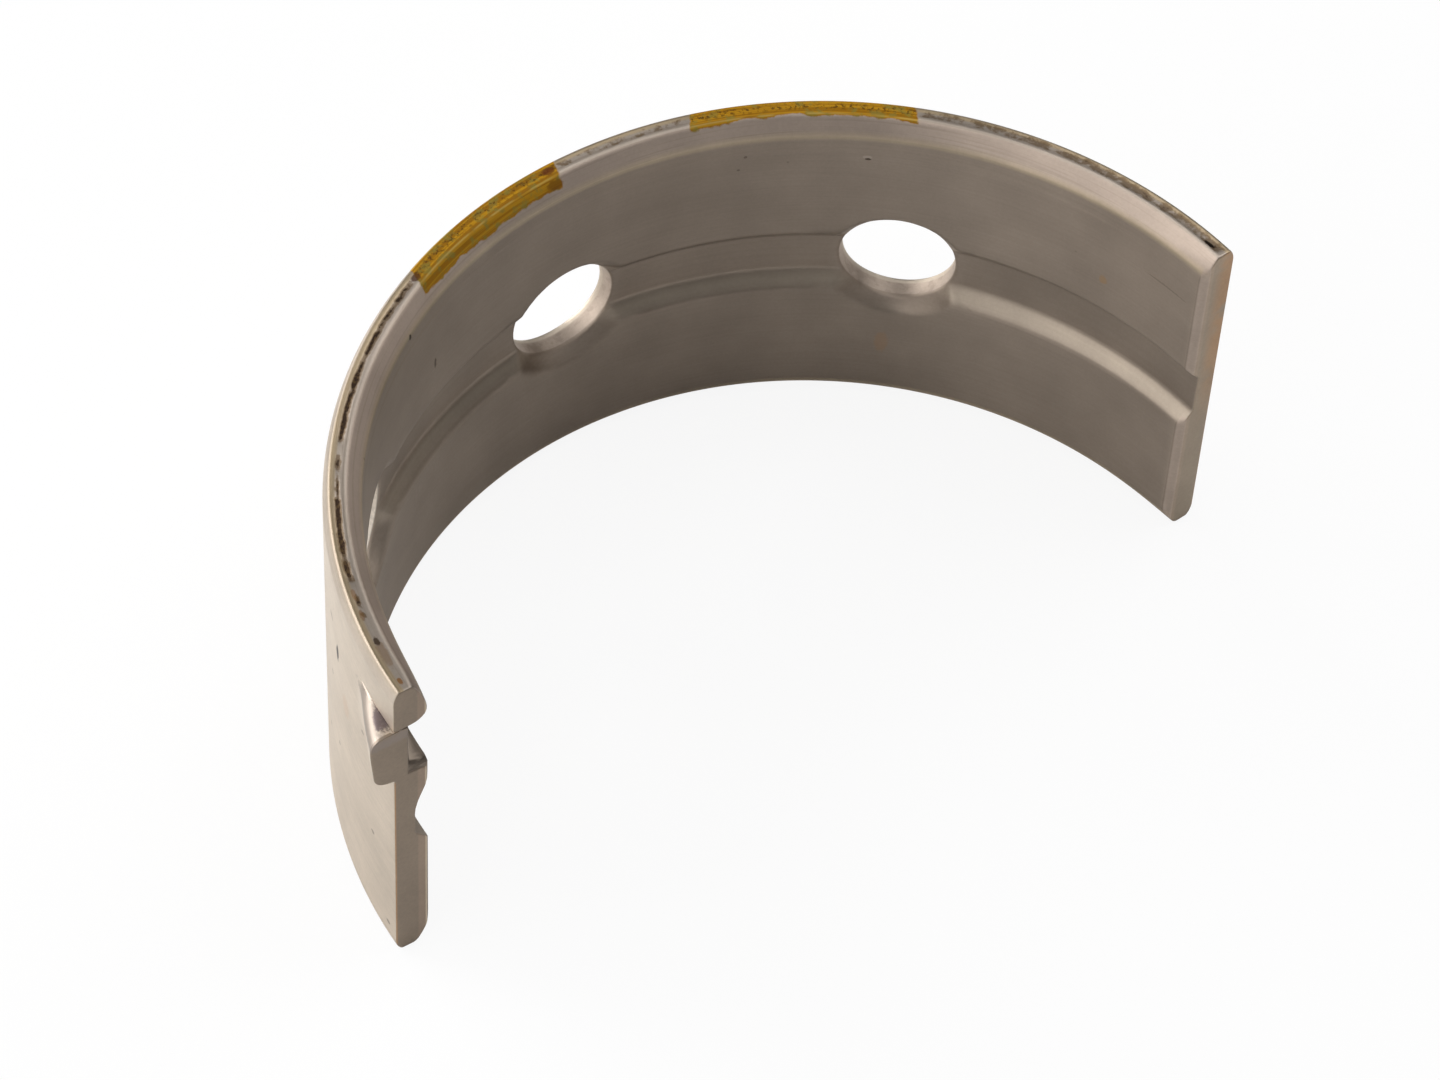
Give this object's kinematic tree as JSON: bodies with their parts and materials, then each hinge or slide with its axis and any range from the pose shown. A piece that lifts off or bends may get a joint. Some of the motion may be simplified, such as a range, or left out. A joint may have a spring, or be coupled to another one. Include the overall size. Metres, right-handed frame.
{
  "type": "engine bearing shell",
  "caption": "Thin-wall main bearing half shell with a full-length oil groove, countersunk oil holes and a pressed locating tang.",
  "frame": {"origin": "on the bore axis at mid width", "axes": "+Z along the bore axis, up as the shell stands on its side face; +Y through the crown of the shell; the tang is at the -X parting face, in the upper half of the width"},
  "size_m": [0.0399, 0.0186, 0.0166],
  "materials": {
    "plated_strip": "dull plated strip, satin, with a colour-code paint mark on one rim"
  },
  "bodies": {
    "root": {"bearing_shell": "plated_strip"}
  },
  "joints": []
}
